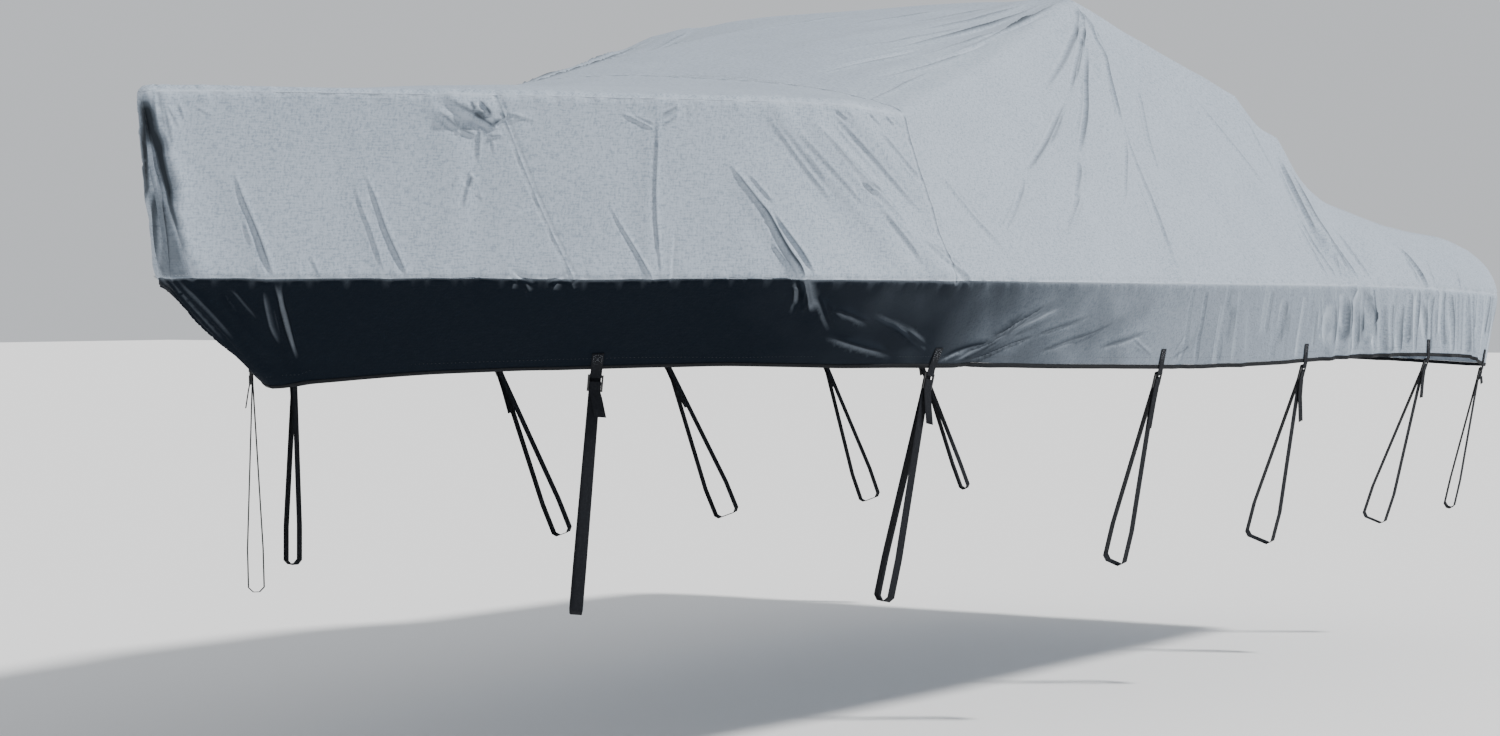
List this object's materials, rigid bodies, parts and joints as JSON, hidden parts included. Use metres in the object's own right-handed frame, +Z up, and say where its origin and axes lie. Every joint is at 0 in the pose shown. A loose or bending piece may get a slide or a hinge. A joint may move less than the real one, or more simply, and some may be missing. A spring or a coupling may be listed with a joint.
{
  "type": "boat cover",
  "caption": "Fitted runabout cover in grey woven cloth with a peaked top over the windshield, a gathered skirt with bound hem and webbing tie-down straps",
  "frame": {"origin": "on the centre line at the underside of the cloth's ridge, over the middle of the windshield it rests on: the mount cover_support", "axes": "+X aft, from the bow to the stern; +Y to starboard; +Z up. The camera of the picture stands ahead and to port, at -X and -Y"},
  "size_m": [5.7058, 2.4615, 1.6582],
  "materials": {
    "cover_cloth": "matte woven polyester",
    "binding_tape": "matte woven tape",
    "strap_webbing": "woven webbing with a faint sheen",
    "buckle_plastic": "matte moulded plastic"
  },
  "bodies": {
    "root": {"foredeck_panel": "cover_cloth", "main_panel": "cover_cloth", "bow_side_panel_port_front": "cover_cloth", "bow_side_panel_port_aft": "cover_cloth", "bow_side_panel_starboard_front": "cover_cloth", "bow_side_panel_starboard_aft": "cover_cloth", "skirt_port": "cover_cloth", "skirt_starboard": "cover_cloth", "hem_binding_port": "binding_tape", "hem_binding_starboard": "binding_tape", "strap_tab_port_1": "strap_webbing", "strap_tab_port_2": "strap_webbing", "strap_tab_port_3": "strap_webbing", "strap_tab_port_4": "strap_webbing", "strap_tab_port_5": "strap_webbing", "strap_tab_port_6": "strap_webbing", "strap_tab_starboard_1": "strap_webbing", "strap_tab_starboard_2": "strap_webbing", "strap_tab_starboard_3": "strap_webbing", "strap_tab_starboard_4": "strap_webbing", "strap_tab_starboard_5": "strap_webbing", "strap_tab_starboard_6": "strap_webbing", "strap_port_1": "strap_webbing", "strap_port_2": "strap_webbing", "strap_port_3": "strap_webbing", "strap_port_4": "strap_webbing", "strap_port_5": "strap_webbing", "strap_port_6": "strap_webbing", "strap_starboard_1": "strap_webbing", "strap_starboard_2": "strap_webbing", "strap_starboard_3": "strap_webbing", "strap_starboard_4": "strap_webbing", "strap_starboard_5": "strap_webbing", "strap_starboard_6": "strap_webbing", "buckle_port_1": "buckle_plastic", "buckle_port_2": "buckle_plastic", "buckle_port_3": "buckle_plastic", "buckle_port_4": "buckle_plastic", "buckle_port_5": "buckle_plastic", "buckle_port_6": "buckle_plastic", "buckle_starboard_1": "buckle_plastic", "buckle_starboard_2": "buckle_plastic", "buckle_starboard_3": "buckle_plastic", "buckle_starboard_4": "buckle_plastic", "buckle_starboard_5": "buckle_plastic", "buckle_starboard_6": "buckle_plastic"}
  },
  "joints": []
}
